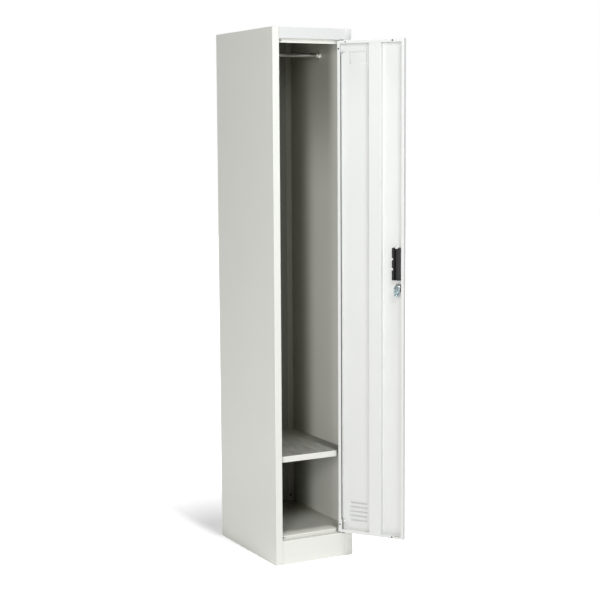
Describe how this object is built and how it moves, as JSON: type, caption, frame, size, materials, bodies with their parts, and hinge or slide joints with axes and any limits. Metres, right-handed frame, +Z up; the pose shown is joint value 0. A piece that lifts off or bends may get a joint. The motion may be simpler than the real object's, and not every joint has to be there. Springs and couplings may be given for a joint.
{
  "type": "steel locker",
  "caption": "Tall narrow steel clothes locker with one hinged louvred door, recessed pull, cam lock, low shelf, hanging rod and a closed plinth.",
  "frame": {"origin": "floor level at the middle of the back panel's outer face, the plane that stands against a wall", "axes": "+X to the right seen from the front, +Y from the front to the wall, +Z up"},
  "size_m": [0.4042, 0.6424, 1.83],
  "materials": {
    "powder_coat": "satin white powder coat, fine texture",
    "zinc_steel": "bright zinc plate",
    "chrome": "polished",
    "socket_metal": "satin plate",
    "nylon": "black nylon, matt",
    "black_plastic": "fine matt",
    "clear_rubber": "translucent, soft"
  },
  "bodies": {
    "cabinet": {"left_side_panel": "powder_coat", "right_side_panel": "powder_coat", "back_panel": "powder_coat", "top_panel": "powder_coat", "floor_panel": "powder_coat", "plinth_panel": "powder_coat", "shelf": "powder_coat", "shelf_brackets": "powder_coat", "hanging_rod": "chrome", "rod_sockets": "socket_metal", "hinge_bushes": "nylon", "stop_buffers": "clear_rubber"},
    "door": {"door_skin": "powder_coat", "door_stiffener": "powder_coat", "hinge_bracket_upper": "powder_coat", "hinge_bracket_lower": "powder_coat", "hinge_pins": "zinc_steel", "pull_cup": "black_plastic", "lock_barrel": "chrome", "lock_nut": "zinc_steel"},
    "lock": {"lock_plug": "zinc_steel", "lock_cam": "zinc_steel", "cam_screw": "zinc_steel"}
  },
  "joints": [
    {"name": "door_hinge", "type": "hinge", "parent": "cabinet", "child": "door", "pos_m": [0.113, -0.444, 0], "axis": [0, 0, 1], "range_deg": [-125.5, 1]},
    {"name": "lock_turn", "type": "hinge", "parent": "door", "child": "lock", "pos_m": [0.24344, -0.61137, 0.957], "axis": [-0.8141, -0.5807, 0], "range_deg": [0, 90]}
  ]
}
